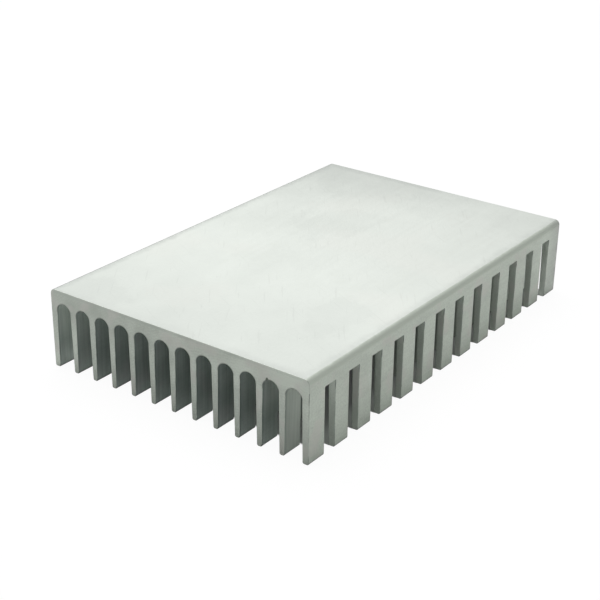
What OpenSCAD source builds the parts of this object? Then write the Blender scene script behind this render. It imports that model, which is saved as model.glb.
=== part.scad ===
// Extruded aluminium heat sink with cross-cut fins.
// It rests on its fin tips, with the flat face of the base plate on top.
// X runs across the fins, Y along the extrusion, Z up through the base plate.

/* [Overall size] */
// Width of the heat sink, measured across the fins
sink_w = 66.5; // [55:0.5:85]
// Length that was cut from the extrusion
sink_l = 100; // [80:1:150]
// Height from the fin tips to the flat face of the base plate
sink_h = 18; // [14:0.5:30]

/* [Base plate] */
// Metal left between the channel roots and the flat face
base_t = 2.9; // [2:0.1:5]
// Radius of the two long edges of the flat face
edge_r = 1.2; // [0.3:0.1:2]

/* [Fins] */
// Number of fins across the width
fin_count = 13; // [9:1:16]
// Thickness of an inner fin at its tip
fin_tip_t = 1.15; // [0.8:0.05:1.5]
// Thickness of an inner fin where the round channel root starts
fin_root_t = 1.62; // [1.52:0.02:2.4]
// Thickness of the two outermost fins at their tips
outer_fin_t = 1.4; // [1:0.05:2.5]
// Radius of the two edges of every fin tip
tip_r = 0.35; // [0.1:0.05:0.4]

/* [Cross cuts] */
// Number of saw cuts across the fins
cut_count = 12; // [8:1:14]
// Width of a saw cut
cut_w = 3.4; // [2:0.05:4]
// Length of the first and the last tooth of every fin
end_tooth_l = 5; // [3:0.1:8]
// Distance by which the saw cuts stop short of the channel roots
cut_short = 0.5; // [0.2:0.05:2]

/* [Hidden] */
$fn = 96;

// Overshoot of a cutting shape past the face that it opens
clear = 1;
half_w = sink_w / 2;
half_l = sink_l / 2;

// Channels: as wide as the fins leave, with walls that lean in to a round root
channel_count = fin_count - 1;
channel_w = (sink_w - 2 * outer_fin_t - (fin_count - 2) * fin_tip_t) / channel_count;
fin_pitch = channel_w + fin_tip_t;
root_r = (fin_pitch - fin_root_t) / 2;
spring_z = sink_h - base_t - root_r;
first_channel_x = -half_w + outer_fin_t + channel_w / 2;

// Cross cuts: evenly spaced between the two end teeth
cut_top_z = sink_h - base_t - cut_short;
tooth_l = (sink_l - 2 * end_tooth_l - cut_count * cut_w) / (cut_count - 1);
cut_pitch = tooth_l + cut_w;

// Centre of channel number i, counted from the -X side
function channel_x(i) = first_channel_x + i * fin_pitch;

// The two flanks of fin number i at its tip
function fin_left_x(i) = i == 0 ? -half_w : channel_x(i - 1) + channel_w / 2;
function fin_right_x(i) = i == fin_count - 1 ? half_w : channel_x(i) - channel_w / 2;

// Outer outline of the section above the rounded fin tips
module body_outline() {
    polygon([
        [-half_w, tip_r],
        [half_w, tip_r],
        [half_w, sink_h - edge_r],
        [half_w - edge_r, sink_h],
        [-half_w + edge_r, sink_h],
        [-half_w, sink_h - edge_r]
    ]);
    for (side = [-1, 1]) {
        translate([side * (half_w - edge_r), sink_h - edge_r]) circle(r = edge_r);
    }
}

// One channel between two fins, with leaning walls and a full-round root
module channel() {
    polygon([
        [-channel_w / 2, tip_r - clear],
        [channel_w / 2, tip_r - clear],
        [channel_w / 2, tip_r],
        [root_r, spring_z],
        [-root_r, spring_z],
        [-channel_w / 2, tip_r]
    ]);
    translate([0, spring_z]) circle(r = root_r);
}

// The rounded tip of one fin, between its two flanks
module fin_tip(left_x, right_x) {
    polygon([
        [left_x, tip_r],
        [left_x + tip_r, 0],
        [right_x - tip_r, 0],
        [right_x, tip_r]
    ]);
    for (x = [left_x + tip_r, right_x - tip_r]) {
        translate([x, tip_r]) circle(r = tip_r);
    }
}

// Section of the extrusion, with the fin tips on the X axis
module section() {
    difference() {
        body_outline();
        for (i = [0 : channel_count - 1]) {
            translate([channel_x(i), 0]) channel();
        }
    }
    for (i = [0 : fin_count - 1]) {
        fin_tip(fin_left_x(i), fin_right_x(i));
    }
}

// The extruded bar, cut to length
module bar() {
    translate([0, half_l, 0])
        rotate([90, 0, 0])
            linear_extrude(height = sink_l) section();
}

// One saw cut across all the fins, with a flat bottom
module cross_cut() {
    translate([-half_w - clear, 0, -clear])
        cube([sink_w + 2 * clear, cut_w, cut_top_z + clear]);
}

// The heat sink: one piece of aluminium, with every fin sawn into teeth
module heat_sink() {
    color("gainsboro")
        difference() {
            bar();
            for (i = [0 : cut_count - 1]) {
                translate([0, -half_l + end_tooth_l + i * cut_pitch, 0]) cross_cut();
            }
        }
}

heat_sink();
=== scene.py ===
"""Looks of an extruded aluminium heat sink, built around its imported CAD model.

One piece is modelled: the heat sink with its worn edges. It stands on its fin
tips on a pale floor, under soft studio light. Lengths are in metres, unless a
name or a docstring says millimetres. X runs across the fins, Y along the
extrusion to the far end, and Z up to the flat face.
"""

import logging
import math
from collections.abc import Callable, Iterator
from contextlib import contextmanager
from dataclasses import dataclass
from enum import Enum
from functools import partial, reduce

import bmesh
import bpy
from mathutils import Matrix, Vector


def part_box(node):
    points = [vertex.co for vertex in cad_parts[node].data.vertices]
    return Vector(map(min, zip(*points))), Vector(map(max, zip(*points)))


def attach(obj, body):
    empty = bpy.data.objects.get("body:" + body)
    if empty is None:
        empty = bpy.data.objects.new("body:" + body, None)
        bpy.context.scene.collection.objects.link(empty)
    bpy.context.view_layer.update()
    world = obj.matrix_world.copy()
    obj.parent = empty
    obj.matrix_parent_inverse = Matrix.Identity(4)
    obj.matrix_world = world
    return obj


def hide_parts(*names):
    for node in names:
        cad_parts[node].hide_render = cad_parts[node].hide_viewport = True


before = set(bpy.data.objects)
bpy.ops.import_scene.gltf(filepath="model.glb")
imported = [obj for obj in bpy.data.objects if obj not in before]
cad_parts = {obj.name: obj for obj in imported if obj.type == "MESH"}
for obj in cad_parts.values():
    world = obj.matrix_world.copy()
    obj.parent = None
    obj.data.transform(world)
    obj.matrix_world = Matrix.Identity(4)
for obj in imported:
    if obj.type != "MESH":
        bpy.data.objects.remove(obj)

LOG = logging.getLogger("heat_sink")
MM = 0.001
TINY = 0.002 * MM
NODE = "heat_sink"
BODY = "root"

Color = tuple[float, float, float, float]
Triple = tuple[float, float, float]
Span = tuple[float, float]
Socket = bpy.types.NodeSocket
Value = Socket | float | Color
WHITE: Color = (1, 1, 1, 1)

# Ranges of a noise pattern that a finish draws on, from its low to its high spots
NOISE_RANGE: Span = (0.3, 0.7)
CLOUD_RANGE: Span = (0.35, 0.7)
SHINE_RANGE: Span = (0.35, 0.65)
GRAIN_RANGE: Span = (0.38, 0.64)

# Least share of a direction on an axis, for an edge that runs along the axis, a
# face that stands across it and a face that lies level
RUNS_ALONG = 0.5
STANDS_ACROSS = 0.9
LIES_LEVEL = 0.99


class Element(Enum):
    """Kinds of mesh element that an edit works on."""

    VERTEX = "VERT"
    EDGE = "EDGE"
    FACE = "FACE"


class Sum(Enum):
    """Kinds of sum that a material works out."""

    ADD = "ADD"
    SUBTRACT = "SUBTRACT"
    MULTIPLY = "MULTIPLY"
    GREATEST = "MAXIMUM"
    SIZE = "ABSOLUTE"
    ROOT = "SQRT"
    FOLD = "PINGPONG"


class Surface(Enum):
    """Kinds of surface on the heat sink, in the order of its material slots."""

    SKIN = 0
    SAWN = 1
    SEAT = 2
    CHANNEL = 3
    EDGE = 4
    CORNER = 5
    TOOTH_END = 6


@contextmanager
def edit_mode(piece: bpy.types.Object) -> Iterator[None]:
    """Opens one piece in edit mode with nothing selected.

    Args:
        piece: The mesh object to edit.
    """
    bpy.ops.object.select_all(action="DESELECT")
    piece.select_set(True)
    bpy.context.view_layer.objects.active = piece
    bpy.ops.object.mode_set(mode="EDIT")
    bpy.ops.mesh.select_all(action="DESELECT")
    try:
        yield
    finally:
        bpy.ops.object.mode_set(mode="OBJECT")


def choose(
    piece: bpy.types.Object,
    element: Element,
    test: Callable[[Vector, Vector], bool],
) -> None:
    """Selects the elements of the piece in edit mode that pass a test.

    Args:
        piece: The mesh object that is in edit mode.
        element: The kind of element to select.
        test: Takes an element's centre and its normal, or an edge's direction.
    """
    bpy.ops.mesh.select_mode(type=element.value)
    bpy.ops.mesh.select_all(action="DESELECT")
    mesh = bmesh.from_edit_mesh(piece.data)
    if element is Element.VERTEX:
        picked = [v for v in mesh.verts if test(v.co, v.normal)]
    elif element is Element.EDGE:
        picked = [
            e for e in mesh.edges
            if test(
                (e.verts[0].co + e.verts[1].co) / 2,
                (e.verts[1].co - e.verts[0].co).normalized(),
            )
        ]
    else:
        picked = [f for f in mesh.faces if test(f.calc_center_median(), f.normal)]
    for item in picked:
        item.select_set(True)
    mesh.select_flush_mode()
    bmesh.update_edit_mesh(piece.data)


def near(value: float, target: float) -> bool:
    """Says whether two lengths are the same for selecting mesh elements."""
    return abs(value - target) < TINY


def runs_along(direction: Vector) -> bool:
    """Says whether an edge runs along the extrusion."""
    return abs(direction.y) > RUNS_ALONG


def extrude(offset: Triple) -> None:
    """Extrudes the selection of the piece in edit mode by an offset."""
    bpy.ops.mesh.extrude_region_move(TRANSFORM_OT_translate={"value": offset})


def move(offset: Triple) -> None:
    """Moves the selection of the piece in edit mode by an offset."""
    bpy.ops.transform.translate(value=offset)


def add_modifier(piece: bpy.types.Object, kind: str, **settings: object) -> None:
    """Adds a modifier to a piece and applies it.

    Args:
        piece: The object that gets the modifier.
        kind: Blender's name for the type of modifier.
        settings: The modifier's own settings.
    """
    bpy.ops.object.select_all(action="DESELECT")
    piece.select_set(True)
    bpy.context.view_layer.objects.active = piece
    modifier = piece.modifiers.new(kind.lower(), kind)
    for name, value in settings.items():
        setattr(modifier, name, value)
    bpy.ops.object.modifier_apply(modifier=modifier.name)


@dataclass
class FinnedBar:
    """The heat sink: a base plate with fins that saw cuts divide into teeth.

    The section and the cuts have the sizes of the CAD part. The overall size
    is the CAD node's own box.
    """

    low: Vector
    high: Vector
    fin_count: int = 13
    cut_count: int = 12
    base_thickness: float = 2.9 * MM
    fin_tip_thickness: float = 1.15 * MM
    fin_root_thickness: float = 1.62 * MM
    outer_fin_thickness: float = 1.4 * MM
    tip_radius: float = 0.35 * MM
    cut_width: float = 3.4 * MM
    end_tooth_length: float = 5.0 * MM
    cut_short: float = 0.5 * MM
    edge_radius: float = 1.2 * MM
    worn_edge: float = 0.12 * MM
    worn_angle: float = math.radians(50)
    root_segments: int = 44
    edge_segments: int = 8
    tip_segments: int = 3
    worn_segments: int = 2

    @property
    def width(self) -> float:
        """Size across the fins."""
        return self.high.x - self.low.x

    @property
    def length(self) -> float:
        """Size along the extrusion."""
        return self.high.y - self.low.y

    @property
    def height(self) -> float:
        """Height of the flat face above the fin tips."""
        return self.high.z - self.low.z

    @property
    def channel_width(self) -> float:
        """Width of a channel between the fin tips."""
        fins = 2 * self.outer_fin_thickness + (self.fin_count - 2) * self.fin_tip_thickness
        return (self.width - fins) / (self.fin_count - 1)

    @property
    def pitch(self) -> float:
        """Distance from one fin to the next."""
        return self.channel_width + self.fin_tip_thickness

    @property
    def root_radius(self) -> float:
        """Radius of the round channel roots."""
        return (self.pitch - self.fin_root_thickness) / 2

    @property
    def spring_height(self) -> float:
        """Height at which the round channel roots start."""
        return self.height - self.base_thickness - self.root_radius

    @property
    def cut_height(self) -> float:
        """Height at which the saw cuts end."""
        return self.height - self.base_thickness - self.cut_short

    @property
    def tooth_length(self) -> float:
        """Length of a tooth between two saw cuts."""
        free = self.length - 2 * self.end_tooth_length - self.cut_count * self.cut_width
        return free / (self.cut_count - 1)

    @property
    def cut_pitch(self) -> float:
        """Distance from one saw cut to the next."""
        return self.tooth_length + self.cut_width

    def build(self) -> bpy.types.Object:
        """Models the whole heat sink as one closed mesh and gives it its finishes.

        Returns:
            The finished object, at the origin.
        """
        piece = self._channel_quarter()
        self._saw_quarter(piece)
        self._repeat(piece)
        self._extend_ends(piece)
        self._extend_sides(piece)
        self._close(piece)
        self._round_long_edges(piece)
        self._dress(piece)
        self._wear_edges(piece)
        piece.name = piece.data.name = "finned_bar"
        return piece

    def _channel_quarter(self) -> bpy.types.Object:
        """Models a quarter of one channel's surface, from a channel's centre to a fin's.

        Returns:
            The object, an open surface that spans half a saw cut and half a tooth.
        """
        bpy.ops.mesh.primitive_circle_add(
            vertices=self.root_segments,
            radius=self.root_radius,
            location=(0, 0, self.spring_height),
            rotation=(math.pi / 2, 0, 0),
        )
        piece = bpy.context.object
        bpy.ops.object.transform_apply()
        with edit_mode(piece):
            choose(
                piece, Element.VERTEX,
                lambda c, n: c.x < -TINY or c.z < self.spring_height - TINY,
            )
            bpy.ops.mesh.delete(type="VERT")
            choose(piece, Element.VERTEX, lambda c, n: near(c.z, self.spring_height))
            extrude((self.channel_width / 2 - self.root_radius, 0, -self.spring_height))
            extrude((self.fin_tip_thickness / 2, 0, 0))
            bpy.ops.mesh.select_all(action="SELECT")
            extrude((0, self.cut_width / 2, 0))
            extrude((0, self.tooth_length / 2, 0))
            choose(
                piece, Element.EDGE,
                lambda c, d: near(c.z, 0) and near(c.x, self.channel_width / 2) and runs_along(d),
            )
            bpy.ops.mesh.bevel(offset=self.tip_radius, segments=self.tip_segments)
        return piece

    def _saw_quarter(self, piece: bpy.types.Object) -> None:
        """Saws half a cut out of the quarter and closes the tooth's end and the cut's floor.

        Args:
            piece: The quarter of a channel.
        """
        cut_edge = self.cut_width / 2
        fin_centre = self.pitch / 2
        with edit_mode(piece):
            bpy.ops.mesh.select_all(action="SELECT")
            bpy.ops.mesh.bisect(
                plane_co=(0, 0, self.cut_height), plane_no=(0, 0, 1), threshold=TINY / 10
            )
            choose(piece, Element.FACE, lambda c, n: c.y < cut_edge and c.z < self.cut_height)
            bpy.ops.mesh.delete(type="FACE")
            choose(
                piece, Element.EDGE,
                lambda c, d: near(c.z, self.cut_height) and c.y < cut_edge - TINY and runs_along(d),
            )
            extrude((fin_centre - self._cut_root_x(), 0, 0))
            choose(
                piece, Element.VERTEX,
                lambda c, n: near(c.y, cut_edge) and near(c.x, fin_centre),
            )
            bpy.ops.mesh.edge_face_add()
            choose(
                piece, Element.VERTEX,
                lambda c, n: near(c.y, cut_edge) and c.z < self.cut_height + TINY,
            )
            bpy.ops.mesh.edge_face_add()

    def _cut_root_x(self) -> float:
        """Works out how far from a channel's centre the cut's floor starts.

        Returns:
            The distance, measured where the floor meets the segments of the round root.
        """
        rise = self.cut_height - self.spring_height
        step = 2 * math.pi / self.root_segments
        index = math.floor(math.asin(rise / self.root_radius) / step)
        ends = [
            Vector((math.cos(a), math.sin(a))) * self.root_radius
            for a in (index * step, (index + 1) * step)
        ]
        share = (rise - ends[0].y) / (ends[1].y - ends[0].y)
        return ends[0].lerp(ends[1], share).x

    def _repeat(self, piece: bpy.types.Object) -> None:
        """Mirrors the quarter and repeats it over all channels and cuts.

        Args:
            piece: The quarter of a channel, with its half cut.
        """
        add_modifier(piece, "MIRROR", use_axis=(True, True, False), merge_threshold=TINY)
        with edit_mode(piece):
            bpy.ops.mesh.select_all(action="SELECT")
            half_x = self.pitch * (self.fin_count - 2) / 2
            half_y = self.cut_pitch * (self.cut_count - 1) / 2
            move((-half_x, -half_y, 0))
        for count, offset in (
            (self.fin_count - 1, (self.pitch, 0, 0)),
            (self.cut_count, (0, self.cut_pitch, 0)),
        ):
            add_modifier(
                piece, "ARRAY", count=count, use_relative_offset=False,
                use_constant_offset=True, constant_offset_displace=offset,
                use_merge_vertices=True, merge_threshold=TINY,
            )

    def _extend_ends(self, piece: bpy.types.Object) -> None:
        """Lengthens the two end teeth of every fin to the ends of the bar.

        Args:
            piece: The open surface of all channels and cuts.
        """
        rim = self.cut_pitch * self.cut_count / 2
        reach = self.length / 2 - rim
        with edit_mode(piece):
            for side in (-1, 1):
                choose(piece, Element.EDGE, lambda c, d: near(c.y, side * rim))
                extrude((0, side * reach, 0))

    def _extend_sides(self, piece: bpy.types.Object) -> None:
        """Thickens the two outermost fins to the sides of the bar.

        Args:
            piece: The open surface of all channels and cuts.
        """
        rim = self.pitch * (self.fin_count - 1) / 2
        reach = self.width / 2 - rim
        with edit_mode(piece):
            for side in (-1, 1):
                choose(piece, Element.EDGE, lambda c, d: near(c.x, side * rim))
                extrude((side * reach, 0, 0))

    def _close(self, piece: bpy.types.Object) -> None:
        """Adds the flat face and closes the two ends and the two sides.

        Args:
            piece: The open surface, as wide and as long as the bar.
        """
        half_w, half_l = self.width / 2, self.length / 2
        with edit_mode(piece):
            bpy.ops.mesh.primitive_plane_add(size=1, location=(0, 0, self.height))
            bpy.ops.transform.resize(
                value=(self.width, self.length, 1), center_override=(0, 0, self.height)
            )
            for side in (-1, 1):
                choose(piece, Element.EDGE, lambda c, d: near(c.y, side * half_l))
                bpy.ops.mesh.edge_face_add()
                choose(piece, Element.EDGE, lambda c, d: near(c.x, side * half_w))
                bpy.ops.mesh.edge_face_add()
            bpy.ops.mesh.select_all(action="SELECT")
            bpy.ops.mesh.normals_make_consistent(inside=False)

    def _round_long_edges(self, piece: bpy.types.Object) -> None:
        """Rounds the long edges of the flat face and the outer edges of the outermost fin tips.

        Args:
            piece: The closed bar.
        """
        half_w = self.width / 2
        with edit_mode(piece):
            for side in (-1, 1):
                for height, radius, segments in (
                    (self.height, self.edge_radius, self.edge_segments),
                    (0, self.tip_radius, self.tip_segments),
                ):
                    choose(
                        piece, Element.EDGE,
                        lambda c, d: near(c.x, side * half_w) and near(c.z, height) and runs_along(d),
                    )
                    bpy.ops.mesh.bevel(offset=radius, segments=segments)

    def _dress(self, piece: bpy.types.Object) -> None:
        """Gives each face the finish of its kind of surface.

        Args:
            piece: The closed bar with its rounded edges.
        """
        finish_of = finishes(self)
        for surface in Surface:
            piece.data.materials.append(finish_of[surface].make())
        for face in piece.data.polygons:
            face.material_index = self._surface(face.center, face.normal).value

    def _surface(self, centre: Vector, normal: Vector) -> Surface:
        """Tells what kind of surface a face lies on, by its place and the way it points.

        Args:
            centre: The middle of the face.
            normal: The way that it points.

        Returns:
            The kind of surface.
        """
        if abs(normal.y) > STANDS_ACROSS:
            return Surface.SAWN if near(abs(centre.y), self.length / 2) else Surface.TOOTH_END
        if normal.z < -LIES_LEVEL and near(centre.z, self.cut_height):
            return Surface.TOOTH_END
        if normal.z > LIES_LEVEL:
            return Surface.SEAT
        if centre.z > self.height - self.edge_radius:
            return Surface.CORNER
        if centre.z < self.tip_radius:
            return Surface.EDGE
        if abs(centre.x) < self.width / 2 - self.outer_fin_thickness / 2:
            return Surface.CHANNEL
        return Surface.SKIN

    def _wear_edges(self, piece: bpy.types.Object) -> None:
        """Breaks every sharp edge and smooths the shading of the round surfaces.

        Args:
            piece: The closed bar with its finishes.
        """
        add_modifier(
            piece, "BEVEL", width=self.worn_edge, segments=self.worn_segments,
            limit_method="ANGLE", angle_limit=self.worn_angle, miter_outer="MITER_ARC",
            use_clamp_overlap=True, material=Surface.EDGE.value,
        )
        bpy.ops.object.shade_smooth_by_angle(angle=self.worn_angle)
        add_modifier(piece, "WEIGHTED_NORMAL", keep_sharp=True, weight=100)


class Bench:
    """A material that is built up node by node, with its patterns measured in millimetres."""

    def __init__(self, name: str) -> None:
        """Starts an empty material.

        Args:
            name: The name of the new material.
        """
        self.material = bpy.data.materials.new(name)
        self.material.use_nodes = True
        self.tree = self.material.node_tree
        self.shader = self.tree.nodes["Principled BSDF"]
        self.place = self.tree.nodes.new("ShaderNodeTexCoord").outputs["Object"]
        parts = self.tree.nodes.new("ShaderNodeSeparateXYZ")
        self.plug(parts.inputs["Vector"], self.place)
        self.x, self.y, self.z = parts.outputs

    def plug(self, target: Socket, value: Value) -> None:
        """Links a socket to another one, or sets it to a plain value.

        Args:
            target: The socket that takes the value.
            value: The socket, number or colour that it gets.
        """
        if isinstance(value, bpy.types.NodeSocket):
            self.tree.links.new(value, target)
        else:
            target.default_value = value

    def stretched(self, per_mm: Triple, turn: Triple = (0, 0, 0), start: Triple = (0, 0, 0)) -> Socket:
        """Gives the place on the piece, scaled on each axis.

        Args:
            per_mm: The scale on each axis for a pattern in millimetres.
            turn: The pattern's rotation, in degrees.
            start: Where the pattern starts, in its own units.

        Returns:
            The socket with the scaled place.
        """
        turned = self.tree.nodes.new("ShaderNodeMapping")
        turned.inputs["Rotation"].default_value = [math.radians(angle) for angle in turn]
        self.plug(turned.inputs["Vector"], self.place)
        scaled = self.tree.nodes.new("ShaderNodeMapping")
        scaled.inputs["Location"].default_value = start
        scaled.inputs["Scale"].default_value = [scale / MM for scale in per_mm]
        self.plug(scaled.inputs["Vector"], turned.outputs["Vector"])
        return scaled.outputs["Vector"]

    def noise(
        self,
        per_mm: Triple,
        detail: float = 2,
        roughness: float = 0.5,
        turn: Triple = (0, 0, 0),
        start: Triple = (0, 0, 0),
    ) -> Socket:
        """Adds a noise pattern, which centres on a half.

        Args:
            per_mm: The pattern's scale on each axis, for each millimetre.
            detail: How many finer patterns are added to the first one.
            roughness: How strong the finer patterns are.
            turn: The pattern's rotation, in degrees.
            start: Where the pattern starts, in its own units.

        Returns:
            The socket with the pattern's value.
        """
        node = self.tree.nodes.new("ShaderNodeTexNoise")
        node.inputs["Scale"].default_value = 1
        node.inputs["Detail"].default_value = detail
        node.inputs["Roughness"].default_value = roughness
        self.plug(node.inputs["Vector"], self.stretched(per_mm, turn, start))
        return node.outputs["Fac"]

    def spot(self, middle: Triple, per_mm: Triple) -> Socket:
        """Adds a round spot, which is 1 in its middle and fades to 0 at its border.

        Args:
            middle: The middle of the spot.
            per_mm: One over the spot's half size on each axis, or 0 to leave that axis out.

        Returns:
            The socket with the spot's value.
        """
        start = tuple(-place / MM * scale for place, scale in zip(middle, per_mm))
        node = self.tree.nodes.new("ShaderNodeTexGradient")
        node.gradient_type = "SPHERICAL"
        self.plug(node.inputs["Vector"], self.stretched(per_mm, start=start))
        return node.outputs["Fac"]

    def remap(self, value: Value, span: Span, onto: Span = (0, 1)) -> Socket:
        """Eases a value from one range onto another, and holds it at the ends.

        Args:
            value: The value to change.
            span: The range that the value is taken from.
            onto: What the two ends of that range become.

        Returns:
            The socket with the new value.
        """
        node = self.tree.nodes.new("ShaderNodeMapRange")
        node.interpolation_type = "SMOOTHSTEP"
        for name, item in zip(("From Min", "From Max", "To Min", "To Max"), span + onto):
            node.inputs[name].default_value = item
        self.plug(node.inputs["Value"], value)
        return node.outputs["Result"]

    def waver(self, pattern: Value, reach: float) -> Socket:
        """Turns a noise pattern into a push to both sides, of at most the reach."""
        return self.remap(pattern, NOISE_RANGE, (-reach, reach))

    def calc(self, kind: Sum, first: Value, second: Value = 0.0) -> Socket:
        """Works out one sum.

        Args:
            kind: The kind of sum.
            first: The value that the sum starts from.
            second: The other value, where the sum takes two.

        Returns:
            The socket with the result.
        """
        node = self.tree.nodes.new("ShaderNodeMath")
        node.operation = kind.value
        self.plug(node.inputs[0], first)
        self.plug(node.inputs[1], second)
        return node.outputs["Value"]

    def add(self, *values: Value) -> Socket:
        """Adds values up."""
        return reduce(partial(self.calc, Sum.ADD), values)

    def subtract(self, first: Value, second: Value) -> Socket:
        """Takes the second value away from the first."""
        return self.calc(Sum.SUBTRACT, first, second)

    def multiply(self, *values: Value) -> Socket:
        """Multiplies values."""
        return reduce(partial(self.calc, Sum.MULTIPLY), values)

    def greatest(self, *values: Value) -> Socket:
        """Picks the greatest of the values."""
        return reduce(partial(self.calc, Sum.GREATEST), values)

    def blend(self, share: Value, first: Value, second: Value) -> Socket:
        """Mixes two colours.

        Args:
            share: How much of the second colour shows.
            first: The colour at a share of 0.
            second: The colour at a share of 1.

        Returns:
            The socket with the mixed colour.
        """
        node = self.tree.nodes.new("ShaderNodeMix")
        node.data_type = "RGBA"
        self.plug(node.inputs["Factor"], share)
        for socket, value in zip([i for i in node.inputs if i.type == "RGBA"], (first, second)):
            self.plug(socket, value)
        return next(o for o in node.outputs if o.type == "RGBA")

    def coat(self, color: Value, shine: Value, roughness: Span) -> None:
        """Gives the surface its colour, and a roughness that follows a pattern.

        Args:
            color: The colour of the surface.
            shine: The pattern, which centres on a half.
            roughness: The roughness where the pattern is low and where it is high.
        """
        self.plug(self.shader.inputs["Base Color"], color)
        self.plug(self.shader.inputs["Roughness"], self.remap(shine, SHINE_RANGE, roughness))

    def relief(self, height: Value, depth: float) -> None:
        """Gives the surface a fine relief.

        Args:
            height: The pattern, which stands out where it is high.
            depth: How far the pattern stands out.
        """
        node = self.tree.nodes.new("ShaderNodeBump")
        node.inputs["Distance"].default_value = depth
        self.plug(node.inputs["Height"], height)
        self.plug(self.shader.inputs["Normal"], node.outputs["Normal"])


@dataclass(frozen=True)
class Finish:
    """What all finishes of the metal share: a colour, its dull tone, which some finishes also use for
    painted shade, and how it shines.
    """

    bar: FinnedBar
    name: str
    color: Color
    # The darker tone: real mottling in most finishes, painted shade on the rounded corners and in the
    # sawn faces' slant and top line
    dull_and_shade: Color
    roughness: Span = (0.40, 0.55)
    metallic: float = 0.55
    warming: Color = (1.05, 0.97, 1.01, 1)
    warmth: float = 0.6

    def make(self) -> bpy.types.Material:
        """Makes the finish.

        Returns:
            The new material.
        """
        bench = Bench(self.name)
        bench.shader.inputs["Metallic"].default_value = self.metallic
        self.dress(bench)
        return bench.material

    def dress(self, bench: Bench) -> None:
        """Adds the nodes of this finish.

        Args:
            bench: The material to build.
        """
        raise NotImplementedError

    def warmed(self, bench: Bench, color: Socket) -> Socket:
        """Makes the metal a little warmer in patches.

        Args:
            bench: The material to build.
            color: The even colour.

        Returns:
            The colour with the warmer patches.
        """
        middle = ((bright + dull_and_shade) / 2 for bright, dull_and_shade in zip(self.color, self.dull_and_shade))
        warm = tuple(part * change for part, change in zip(middle, self.warming))
        patches = bench.noise((0.16, 0.16, 0.16), start=(7, 3, 1))
        return bench.blend(bench.remap(patches, (0.52, 0.64), (0, self.warmth)), color, warm)


@dataclass(frozen=True)
class SideFinish(Finish):
    """A finish of the long sides, which are darker towards the far end."""

    far_dark: Color = (0.36, 0.36, 0.37, 1)
    wide_band: Span = (1.0 * MM, 6.5 * MM)
    narrow_band: Span = (0.2 * MM, 0.8 * MM)

    def far_end_darkening(self, bench: Bench, color: Socket) -> Socket:
        """Darkens the colour next to the far end, in a wide faint band and a narrow darker one.

        Args:
            bench: The material to build.
            color: The colour before the darkening.

        Returns:
            The darkened colour.
        """
        waver = bench.waver(bench.noise((0.3, 0.3, 0.5), 4, 0.65, start=(5, 0, 2)), 0.5 * MM)
        inward = bench.subtract(self.bar.length / 2, bench.add(bench.y, waver))
        wide = bench.remap(inward, self.wide_band, (0.3, 0))
        narrow = bench.remap(inward, self.narrow_band, (0.4, 0))
        return bench.blend(bench.add(wide, narrow), color, self.far_dark)


@dataclass(frozen=True)
class Blotch:
    """A faint stain on the flat face, with its middle and its half sizes in millimetres."""

    x: float
    y: float
    half_x: float
    half_y: float
    strength: float


@dataclass(frozen=True)
class Scratches:
    """Fine scratches that run one way, turned by an angle in degrees."""

    turn: float
    per_mm: Triple
    strength: float


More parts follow.
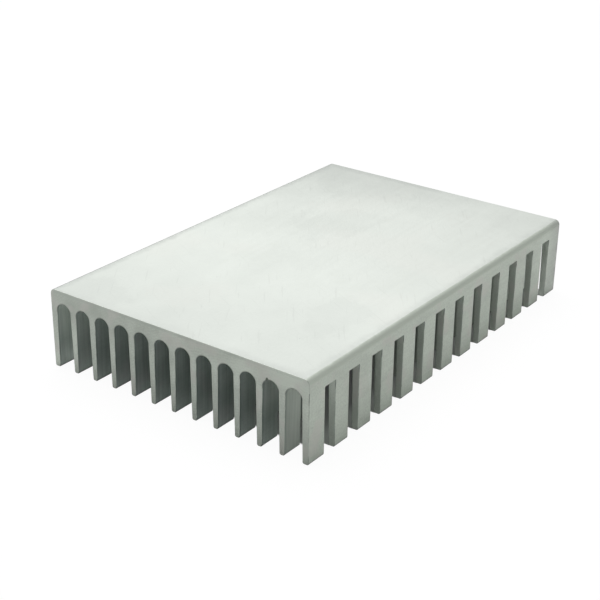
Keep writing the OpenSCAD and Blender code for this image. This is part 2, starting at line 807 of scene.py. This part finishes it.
@dataclass(frozen=True)
class SeatFinish(Finish):
    """The bright flat face, faintly mottled by handling, with painted shade along its rim and at its
    ends.
    """

    warming: Color = (1.01, 0.992, 0.992, 1)
    warmth: float = 0.5
    # Colour of the real stains and grain, and of the painted shade at the ends and the rim
    stain_and_shade: Color = (0.5, 0.53, 0.5, 1)
    speck: Color = (0.30, 0.31, 0.29, 1)
    slant: float = -0.4
    # Where the painted shade at the far and the near end fades in, along Y
    far_painted_shade: Span = (22 * MM, 80 * MM)
    near_painted_shade: Span = (-56 * MM, -8 * MM)
    blotches: tuple[Blotch, ...] = (
        Blotch(-19, 42, 22, 14, 0.07),
        Blotch(5, 39, 13, 10, 0.05),
        Blotch(-7, 17, 14, 16, 0.07),
        Blotch(-20, 15, 14, 13, 0.04),
        Blotch(22, -26, 9, 16, 0.08),
        Blotch(-25, -48, 19, 12, 0.10),
        Blotch(28, 42, 9, 12, 0.06),
        Blotch(-8, -9, 13, 12, 0.03),
        Blotch(2, -44, 17, 9, 0.04),
    )
    scratches: tuple[Scratches, ...] = (
        Scratches(28, (0.10, 1.9, 1), 0.05),
        Scratches(54, (0.11, 1.5, 1), 0.08),
    )

    def dress(self, bench: Bench) -> None:
        """Adds the mottling, the drawn lines, the painted shade at the ends and the rim, the stains
        and the scuffs.

        Args:
            bench: The material to build.
        """
        clouds = bench.noise((0.06, 0.055, 0.06), 6, 0.6)
        lines = bench.noise((2.2, 0.05, 2.2), 3, 0.6)
        speckle = bench.noise((1.6, 1.6, 1.6), 3, 0.6)
        color = bench.blend(bench.remap(clouds, (0.36, 0.62)), self.dull_and_shade, self.color)
        warm = tuple(part * change for part, change in zip(self.color, self.warming))
        patches = bench.noise((0.05, 0.05, 0.05), 1, start=(7, 3, 1))
        color = bench.blend(bench.remap(patches, (0.54, 0.68), (0, self.warmth)), color, warm)
        drawn = bench.remap(lines, NOISE_RANGE, (0, 0.02))
        grain = bench.add(drawn, bench.remap(speckle, NOISE_RANGE, (0, 0.05)))
        # Grain and stains are real; the ends and the rim are painted shade in the same colour
        for share in (grain, self._painted_end_shade(bench), self._blotted(bench), self._painted_rim_shade(bench)):
            color = bench.blend(share, color, self.stain_and_shade)
        color = bench.blend(self._scuffs(bench), color, self.speck)
        shine = bench.add(bench.multiply(speckle, 0.6), bench.multiply(lines, 0.4))
        bench.coat(color, shine, self.roughness)
        bench.relief(bench.add(bench.multiply(lines, 0.4), speckle), 0.003 * MM)

    def _blotted(self, bench: Bench) -> Socket:
        """Adds the faint stains, each with a ragged border.

        Args:
            bench: The material to build.

        Returns:
            How much of the dull stain shows.
        """
        ragged = bench.waver(bench.noise((0.14, 0.11, 0.14), 5, 0.65, turn=(0, 0, -35)), 0.24)
        shares = []
        for blotch in self.blotches:
            middle = (blotch.x * MM, blotch.y * MM, 0)
            spot = bench.spot(middle, (1 / blotch.half_x, 1 / blotch.half_y, 0))
            shares.append(bench.remap(bench.add(spot, ragged), (0.25, 0.45), (0, blotch.strength)))
        return bench.add(*shares)

    def _scuffs(self, bench: Bench) -> Socket:
        """Adds short scratches in two directions and small dark specks.

        Args:
            bench: The material to build.

        Returns:
            How much of the dark speck colour shows.
        """
        specks = bench.noise((1.0, 1.0, 1.0), 1)
        shares = [bench.remap(specks, (0.76, 0.84), (0, 0.25))]
        for group in self.scratches:
            marks = bench.noise(group.per_mm, 1, turn=(0, 0, group.turn))
            shares.append(bench.remap(marks, (0.64, 0.76), (0, group.strength)))
        return bench.add(*shares)

    def _painted_end_shade(self, bench: Bench) -> Socket:
        """Paints shade onto the two ends of the face, most of all the far left corner.

        Args:
            bench: The material to build.

        Returns:
            How much of the painted shade shows.
        """
        waver = bench.waver(bench.noise((0.05, 0.05, 0.05), 4, 0.6, start=(3, 1, 4)), 5 * MM)
        slanted = bench.add(bench.y, bench.multiply(bench.x, self.slant), waver)
        far_end = bench.remap(slanted, self.far_painted_shade, (0, 0.62))
        near_end = bench.remap(bench.add(bench.y, waver), self.near_painted_shade, (0.34, 0))
        return bench.add(far_end, near_end)

    def _painted_rim_shade(self, bench: Bench) -> Socket:
        """Paints shade along the rim of the face, next to its rounded and its sawn edges.

        Args:
            bench: The material to build.

        Returns:
            How much of the painted shade shows.
        """
        half_w, half_l = self.bar.width / 2, self.bar.length / 2
        waver = bench.waver(bench.noise((0.3, 0.3, 0.3), 4, 0.65), 0.5 * MM)
        from_side = bench.add(bench.subtract(half_w, bench.calc(Sum.SIZE, bench.x)), waver)
        from_near = bench.add(bench.y, half_l, waver)
        from_far = bench.add(bench.subtract(half_l, bench.y), waver)
        sides = bench.multiply(
            bench.remap(from_side, (0.9 * MM, 3 * MM), (1, 0)),
            bench.remap(bench.x, (-10 * MM, 10 * MM), (0.42, 0.28)),
        )
        near_end = bench.multiply(
            bench.remap(from_near, (0, 2.6 * MM), (1, 0)),
            bench.remap(bench.x, (8 * MM, 26 * MM), (0.12, 0.4)),
        )
        far_end = bench.add(
            bench.remap(from_far, (0.3 * MM, 1.6 * MM), (0.14, 0)),
            bench.remap(from_far, (1.4 * MM, 2.7 * MM), (0.22, 0)),
        )
        far_end = bench.multiply(far_end, bench.remap(bench.x, (-1 * MM, 3 * MM), (1, 0.1)))
        return bench.greatest(sides, near_end, far_end)


@dataclass(frozen=True)
class DrawnFinish(SideFinish):
    """A skin that came through the die, with fine lines along its length."""

    lines: float = 0.2
    mottling: float = 0.35
    grain: float = 0.5

    def dress(self, bench: Bench) -> None:
        """Adds the drawn lines, the mottling, the grain and the dirt.

        Args:
            bench: The material to build.
        """
        clouds = bench.noise((0.22, 0.10, 0.22), 4, 0.6)
        lines = bench.noise((3.2, 0.03, 3.2), 3, 0.65)
        speckle = bench.noise((2.4, 2.4, 2.4), 2, 0.6)
        marks = bench.add(
            bench.remap(lines, NOISE_RANGE, (0, self.lines)),
            bench.remap(clouds, CLOUD_RANGE, (0, self.mottling)),
            bench.remap(speckle, GRAIN_RANGE, (0, self.grain)),
        )
        color = self.soil_and_shade(bench, self.warmed(bench, bench.blend(marks, self.color, self.dull_and_shade)))
        shine = bench.add(bench.multiply(clouds, 0.5), bench.multiply(lines, 0.5))
        bench.coat(color, shine, self.roughness)
        bench.relief(bench.add(lines, bench.multiply(speckle, 0.5)), 0.008 * MM)

    def soil_and_shade(self, bench: Bench, color: Socket) -> Socket:
        """Darkens the colour only next to the far end."""
        return self.far_end_darkening(bench, color)


@dataclass(frozen=True)
class ChannelFinish(DrawnFinish):
    """The skin inside the channels, with grimy upright streaks, painted shade deep down, at the roots
    and at the mouths, and painted light in the outer channels.
    """

    # Colour of the grimy streaks and of the painted shade in the channels
    grime_and_shade: Color = (0.22, 0.27, 0.25, 1)
    # Painted light of the outer channels
    outer_painted_light: Color = (0.79, 0.84, 0.78, 1)
    left_edge: float = -18 * MM
    right_channels: Span = (17 * MM, 22 * MM)
    last_channels: Span = (22.5 * MM, 27.5 * MM)
    rise: Span = (5 * MM, 10.5 * MM)

    def soil_and_shade(self, bench: Bench, color: Socket) -> Socket:
        """Adds the grimy upright streaks, painted shade deep down, at the roots and at the mouths, and
        painted light in the outer channels.

        Args:
            bench: The material to build.
            color: The even colour of the skin.

        Returns:
            The colour with its streaks, painted shade and painted light.
        """
        outer_light_share = self._painted_outer_light(bench)
        inward = bench.subtract(self.bar.length / 2, bench.calc(Sum.SIZE, bench.y))
        cut_top = self.bar.cut_height
        # Painted shade: least near the floor, darkest at mid height, lighter again higher up
        deep_painted_shade = bench.subtract(
            bench.remap(bench.z, (0, 6 * MM), (0.06, 0.42)),
            bench.remap(bench.z, (7 * MM, 11.5 * MM), (0, 0.20)),
        )
        upright = bench.noise((0.3, 1.6, 0.04), 3, 0.65)
        soil_and_shade = bench.add(
            bench.multiply(deep_painted_shade, bench.subtract(1.0, outer_light_share)),
            # Painted shade at the round roots
            bench.remap(bench.z, (cut_top - 0.5 * MM, cut_top - 0.1 * MM), (0, 0.3)),
            # Grimy upright streaks
            bench.remap(upright, (0.35, 0.68), (-0.02, 0.18)),
            # Painted shade at the mouths of the channels
            bench.remap(inward, (0, 2.5 * MM), (0.22, 0)),
            bench.remap(inward, (0, 0.6 * MM), (0.35, 0)),
        )
        # The outer channels get painted light, then streaks and painted shade go over it
        return bench.blend(soil_and_shade, bench.blend(outer_light_share, color, self.outer_painted_light), self.grime_and_shade)

    def _painted_outer_light(self, bench: Bench) -> Socket:
        """Says how much painted light the outer channels get, most of all high up.

        Args:
            bench: The material to build.

        Returns:
            The share of the painted light.
        """
        first_wall = self.bar.outer_fin_thickness - self.bar.width / 2
        left = bench.multiply(
            bench.remap(bench.x, (first_wall, self.left_edge), (1, 0)),
            bench.remap(bench.z, self.rise, (0.4, 0.8)),
        )
        right = bench.multiply(
            bench.remap(bench.x, self.right_channels),
            bench.remap(bench.z, self.rise, (0, 0.35)),
        )
        return bench.greatest(left, right, bench.remap(bench.x, self.last_channels))


@dataclass(frozen=True)
class CornerFinish(SideFinish):
    """The rounded long edges, painted darkest where they turn from the flat face to the side.

    The left one has a line of painted shade along its top.
    """

    side: Color = (0.60, 0.66, 0.58, 1)
    # Colour of the painted shade line along the left edge
    left: Color = (0.36, 0.37, 0.36, 1)
    shade_drop: Span = (-0.08 * MM, 0.2 * MM)
    side_drop: Span = (0.4 * MM, 0.8 * MM)
    left_drop: Span = (0.25 * MM, 0.5 * MM)
    left_edge: Span = (-32.3 * MM, -32.1 * MM)

    def dress(self, bench: Bench) -> None:
        """Adds the painted shade over the round, with a wavering border, and the painted shade line on
        the left.

        Args:
            bench: The material to build.
        """
        pattern = bench.noise((0.5, 0.25, 0.5), 4, 0.65)
        speckle = bench.noise((2.4, 2.4, 2.4), 2, 0.6)
        drop = bench.add(bench.subtract(self.bar.height, bench.z), bench.waver(pattern, 0.06 * MM))
        # Painted shade: from the bright top through the darker tone to the side's colour
        share = bench.add(
            bench.remap(drop, self.shade_drop), bench.remap(speckle, CLOUD_RANGE, (0, 0.1))
        )
        turn = bench.blend(share, self.color, self.dull_and_shade)
        color = bench.blend(bench.remap(drop, self.side_drop), turn, self.side)
        # Painted shade line along the top of the left edge, strongest at the near end
        left = bench.multiply(
            bench.remap(bench.x, self.left_edge, (1, 0)),
            bench.remap(bench.y, (-self.bar.length / 2, -20 * MM), (1, 0.75)),
            bench.remap(drop, self.left_drop, (1, 0)),
        )
        color = self.far_end_darkening(bench, bench.blend(left, color, self.left))
        bench.coat(color, pattern, self.roughness)
        bench.relief(speckle, 0.004 * MM)


@dataclass(frozen=True)
class SawnFinish(Finish):
    """A face that a round saw blade left, with shallow arcs and a slant of painted light and shade."""

    blade_centre: Triple = (22 * MM, 0, -48 * MM)
    arcs_per_mm: float = 0.55
    arc_strength: float = 0.22
    mottling: float = 0.35
    grain: float = 0.6
    # The line of painted shade just below the top edge: its strength and its heights
    top_shade_strength: float = 0.45
    top_shade_line: Span = (17.4 * MM, 17.72 * MM)
    nick: Triple = (23.5 * MM, 0, 14.95 * MM)
    nick_per_mm: Triple = (2, 0, 1.25)
    # Colour of the dirt in the nick and of the painted shade around the roots
    dirt_and_shade: Color = (0.09, 0.115, 0.085, 1)
    # Width of the painted shade around the roots
    root_shade_width: Span = (0.06 * MM, 0.3 * MM)
    # Heights over which the painted slant of light and shade turns
    painted_slant_rise: Span = (8 * MM, 15.5 * MM)

    def dress(self, bench: Bench) -> None:
        """Adds the saw's arcs, the mottling, the grain, the painted shade line, the painted shade
        around the roots and the nick.

        Args:
            bench: The material to build.
        """
        ridges = self._arcs(bench)
        clouds = bench.noise((0.2, 0.2, 0.2), 4, 0.6, start=(2, 5, 3))
        speckle = bench.noise((2.8, 2.8, 2.8), 3, 0.65)
        # Painted shade: a dark line just below the top edge
        low, high = self.top_shade_line
        top_shade = bench.subtract(
            bench.remap(bench.z, (low - 0.15 * MM, low)),
            bench.remap(bench.z, (high, high + 0.12 * MM)),
        )
        # Painted light and shade: darker to the right low down and to the left high up
        painted_slant = bench.multiply(
            bench.remap(bench.x, (-33 * MM, 33 * MM), (-1, 1)),
            bench.remap(bench.z, self.painted_slant_rise, (0.35, -0.5)),
        )
        marks = bench.add(
            bench.multiply(ridges, self.arc_strength),
            bench.remap(clouds, CLOUD_RANGE, (0, self.mottling)),
            bench.remap(speckle, GRAIN_RANGE, (0, self.grain)),
            bench.multiply(top_shade, self.top_shade_strength),
            painted_slant,
        )
        color = self.add_painted_light(bench, self.warmed(bench, bench.blend(marks, self.color, self.dull_and_shade)))
        # Painted shade around the roots, and the dirt in the nick
        for share in (self._painted_root_shade(bench), self._nicked(bench)):
            color = bench.blend(share, color, self.dirt_and_shade)
        bench.coat(color, clouds, self.roughness)
        bench.relief(bench.add(ridges, speckle), 0.010 * MM)

    def _arcs(self, bench: Bench) -> Socket:
        """Adds the arcs that the teeth of the blade left, around the blade's centre.

        Args:
            bench: The material to build.

        Returns:
            The height of the ridges.
        """
        arcs = bench.tree.nodes.new("ShaderNodeTexWave")
        arcs.wave_type = "RINGS"
        arcs.rings_direction = "Y"
        arcs.inputs["Scale"].default_value = self.arcs_per_mm
        arcs.inputs["Distortion"].default_value = 5
        arcs.inputs["Detail"].default_value = 3
        arcs.inputs["Detail Scale"].default_value = 0.4
        start = tuple(-place / MM for place in self.blade_centre)
        bench.plug(arcs.inputs["Vector"], bench.stretched((1, 0.2, 1), start=start))
        return arcs.outputs["Fac"]

    def _painted_root_shade(self, bench: Bench) -> Socket:
        """Adds a thin line of painted shade around the round channel roots.

        Args:
            bench: The material to build.

        Returns:
            How much of the painted shade shows.
        """
        half_pitch = self.bar.pitch / 2
        aside = bench.subtract(half_pitch, bench.calc(Sum.FOLD, bench.x, half_pitch))
        rise = bench.subtract(bench.z, self.bar.spring_height)
        squared = bench.add(bench.multiply(aside, aside), bench.multiply(rise, rise))
        outward = bench.subtract(bench.calc(Sum.ROOT, squared), self.bar.root_radius)
        root_shade = bench.remap(outward, self.root_shade_width, (0.5, 0))
        return bench.multiply(root_shade, bench.remap(rise, (-0.5 * MM, 0.6 * MM)))

    def _nicked(self, bench: Bench) -> Socket:
        """Adds the small nick in the near end face, at the top of a channel root.

        Args:
            bench: The material to build.

        Returns:
            How much of the dirt in the nick shows.
        """
        spot = bench.remap(bench.spot(self.nick, self.nick_per_mm), (0.2, 0.45), (0, 0.95))
        return bench.multiply(spot, bench.remap(bench.y, (-49 * MM, -48 * MM), (1, 0)))

    def add_painted_light(self, bench: Bench, color: Socket) -> Socket:
        """Leaves the colour even; a finish with painted light adds it here."""
        return color


@dataclass(frozen=True)
class ToothFinish(SawnFinish):
    """The walls of the saw cuts, with painted light in the last cut."""

    # Painted light of the last cut
    bright: Color = (0.88, 0.93, 0.87, 1)

    def add_painted_light(self, bench: Bench, color: Socket) -> Socket:
        """Paints light onto the last cut, least of all near its flat bottom.

        Args:
            bench: The material to build.
            color: The even colour.

        Returns:
            The colour with the painted light.
        """
        wall = self.bar.length / 2 - self.bar.end_tooth_length
        last = bench.remap(bench.y, (wall - 0.5 * MM, wall - 0.1 * MM), (0, 0.66))
        last = bench.multiply(last, bench.remap(bench.z, (7 * MM, 12 * MM), (1, 0)))
        return bench.blend(last, color, self.bright)


@dataclass(frozen=True)
class EdgeFinish(Finish):
    """The narrow broken edges: dark in patches, with painted shade on the fin tips and at the cuts'
    mouths.
    """

    # Colour of the painted shade on the fin tips and at the mouths
    edge_shade: Color = (0.13, 0.15, 0.14, 1)
    top: Color = (0.70, 0.75, 0.69, 1)
    tip_shade: Span = (0.4 * MM, 0.7 * MM)
    mouth_start: Span = (12.5 * MM, 13.8 * MM)

    def dress(self, bench: Bench) -> None:
        """Adds the patches of wear, the painted shade on the tips and at the mouths, and the bright
        top edges.

        Args:
            bench: The material to build.
        """
        wear = bench.noise((0.35, 0.25, 0.35), 4, 0.7)
        top = self.bar.height
        roof = top - self.bar.base_thickness
        color = bench.blend(bench.remap(wear, (0.40, 0.56)), self.dull_and_shade, self.color)
        # Painted shade on the fin tips, next to the floor
        color = bench.blend(bench.remap(bench.z, self.tip_shade), self.edge_shade, color)
        color = bench.blend(bench.remap(bench.z, (top - 0.3 * MM, top - 0.15 * MM)), color, self.top)
        # Painted shade on the edges around the round roots at the mouths
        mouth = bench.multiply(
            bench.remap(bench.z, self.mouth_start),
            bench.remap(bench.z, (roof + 0.1 * MM, roof + 0.2 * MM), (0.85, 0)),
        )
        bench.coat(bench.blend(mouth, color, self.edge_shade), wear, self.roughness)


def finishes(bar: FinnedBar) -> dict[Surface, Finish]:
    """Picks the finish of every kind of surface.

    Args:
        bar: The piece that wears the finishes.

    Returns:
        The finish of each surface, in the order of the material slots.
    """
    return {
        Surface.SKIN: DrawnFinish(
            bar, "drawn_side", (0.645, 0.71, 0.625, 1), (0.535, 0.585, 0.52, 1), (0.5, 0.62), 0.45
        ),
        Surface.SAWN: SawnFinish(bar, "sawn_face", (0.535, 0.585, 0.52, 1), (0.435, 0.475, 0.425, 1)),
        Surface.SEAT: SeatFinish(
            bar, "bright_seat", (0.84, 0.88, 0.83, 1), (0.815, 0.855, 0.805, 1), (0.44, 0.52), 0.45
        ),
        Surface.CHANNEL: ChannelFinish(
            bar, "channel_wall", (0.66, 0.73, 0.69, 1), (0.58, 0.65, 0.61, 1)
        ),
        Surface.EDGE: EdgeFinish(bar, "broken_edge", (0.47, 0.52, 0.465, 1), (0.27, 0.30, 0.27, 1)),
        Surface.CORNER: CornerFinish(
            bar, "rounded_corner", (0.68, 0.73, 0.665, 1), (0.56, 0.61, 0.54, 1), (0.66, 0.76), 0.3
        ),
        Surface.TOOTH_END: ToothFinish(bar, "tooth_end", (0.64, 0.69, 0.63, 1), (0.55, 0.60, 0.54, 1)),
    }


@dataclass
class Studio:
    """The pale floor, the soft lights and the camera, with angles in degrees."""

    bar: FinnedBar
    azimuth: float = 36.181
    elevation: float = 24.939
    roll: float = -0.624
    distance: float = 296.37 * MM
    aim: Triple = (-0.163 * MM, -7.534 * MM, 9 * MM)
    lens_mm: float = 80.83
    sensor_mm: float = 36
    clip_start: float = 0.01
    floor_size: float = 4.0
    floor_roughness: float = 0.9
    floor_glow: float = 0.03
    pale: Color = (0.92, 0.92, 0.92, 1)
    # Painted shade that the camera sees on the floor under the fins
    deep_painted_shade: Color = (0.40, 0.43, 0.40, 1)
    wash: float = 0.93
    wash_glow: float = 1.02
    shaded: tuple[Span, Span] = ((-33 * MM, 31.85 * MM), (-44 * MM, 48 * MM))
    soft_edges: Span = (0.4 * MM, 0.8 * MM)
    # Where the painted light in the saw cuts starts, across the fins
    lane_start: Span = (30.3 * MM, 30.7 * MM)
    shade_fading: Span = (26 * MM, 30 * MM)
    room_light: float = 0.35
    softbox_place: Triple = (-0.2, 0.12, 0.6)
    softbox_size: float = 0.7
    softbox_energy: float = 3.45

    def build(self) -> None:
        """Makes the floor, the lights and the camera."""
        self._floor()
        self._lights()
        self._camera()

    def _floor(self) -> None:
        """Lays a pale floor, which looks white all round and keeps its shade under the fins, where the
        camera sees it darkened further by painted shade.
        """
        bpy.ops.mesh.primitive_plane_add(size=self.floor_size, location=(0, 0, 0))
        floor = bpy.context.object
        floor.name = "floor"
        bench = Bench("floor_white")
        bench.shader.inputs["Roughness"].default_value = self.floor_roughness
        bench.shader.inputs["Emission Color"].default_value = WHITE
        bench.shader.inputs["Emission Strength"].default_value = self.floor_glow
        seen = bench.tree.nodes.new("ShaderNodeLightPath").outputs["Is Camera Ray"]
        outside = self._outside(bench)
        # Painted shade: the camera sees the floor under the fins darker, less so towards the right
        # side
        depth = bench.remap(bench.x, self.shade_fading, (1, 0.6))
        under = bench.multiply(seen, bench.subtract(1.0, outside), depth)
        bench.plug(bench.shader.inputs["Base Color"], bench.blend(under, self.pale, self.deep_painted_shade))
        white = bench.tree.nodes.new("ShaderNodeEmission")
        white.inputs["Strength"].default_value = self.wash_glow
        mix = bench.tree.nodes.new("ShaderNodeMixShader")
        bench.plug(mix.inputs["Fac"], bench.multiply(seen, outside))
        bench.plug(mix.inputs[1], bench.shader.outputs["BSDF"])
        bench.plug(mix.inputs[2], white.outputs["Emission"])
        bench.plug(bench.tree.nodes["Material Output"].inputs["Surface"], mix.outputs["Shader"])
        floor.data.materials.append(bench.material)

    def _outside(self, bench: Bench) -> Socket:
        """Says how white the floor is washed: fully all round, and not at all under the fins.

        Args:
            bench: The floor's material.

        Returns:
            The share of the wash.
        """
        shares = [self._lanes(bench)]
        for place, (low, high), soft in zip((bench.x, bench.y), self.shaded, self.soft_edges):
            shares.append(bench.remap(place, (low - soft, low), (1, 0)))
            shares.append(bench.remap(place, (high, high + soft)))
        return bench.multiply(bench.greatest(*shares), self.wash)

    def _lanes(self, bench: Bench) -> Socket:
        """Says where painted light washes the floor white in the saw cuts of the outermost fin.

        Args:
            bench: The floor's material.

        Returns:
            The share of the wash.
        """
        half_cut = self.bar.cut_width / 2
        first_lane = self.bar.end_tooth_length + half_cut - self.bar.length / 2
        along = bench.subtract(bench.y, first_lane)
        aside = bench.calc(Sum.FOLD, along, self.bar.cut_pitch / 2)
        lane = bench.remap(aside, (half_cut - 0.1 * MM, half_cut + 0.05 * MM), (1, 0))
        return bench.multiply(lane, bench.remap(bench.x, self.lane_start))

    def _lights(self) -> None:
        """Hangs one large softbox and lights the room evenly."""
        world = bpy.data.worlds.new("studio")
        world.use_nodes = True
        background = world.node_tree.nodes["Background"]
        background.inputs["Color"].default_value = WHITE
        background.inputs["Strength"].default_value = self.room_light
        bpy.context.scene.world = world
        bpy.ops.object.light_add(type="AREA", location=self.softbox_place)
        key = bpy.context.object
        key.name = "softbox"
        key.data.shape = "DISK"
        key.data.size = self.softbox_size
        key.data.energy = self.softbox_energy
        key.rotation_euler = (-key.location).to_track_quat("-Z", "Y").to_euler()

    def _camera(self) -> None:
        """Sets up the camera at its angle and distance from the point that it aims at."""
        azimuth, elevation = math.radians(self.azimuth), math.radians(self.elevation)
        back = Vector((
            math.sin(azimuth) * math.cos(elevation),
            -math.cos(azimuth) * math.cos(elevation),
            math.sin(elevation),
        ))
        bpy.ops.object.camera_add(location=Vector(self.aim) + back * self.distance)
        camera = bpy.context.object
        turn = (-back).to_track_quat("-Z", "Y").to_matrix().to_4x4()
        turn = turn @ Matrix.Rotation(math.radians(-self.roll), 4, "Z")
        camera.rotation_euler = turn.to_euler()
        camera.data.lens = self.lens_mm
        camera.data.sensor_width = self.sensor_mm
        camera.data.clip_start = self.clip_start
        bpy.context.scene.camera = camera


def main() -> None:
    """Builds the piece and the studio."""
    logging.basicConfig(level=logging.INFO, format="%(message)s")
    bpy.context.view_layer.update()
    low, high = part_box(NODE)
    sink = FinnedBar(low, high)
    piece = sink.build()
    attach(piece, BODY)
    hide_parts(NODE)
    LOG.info("%s: %d faces", piece.name, len(piece.data.polygons))
    Studio(sink).build()
    bpy.context.scene.view_settings.view_transform = "Standard"


if __name__ == "__main__":
    main()
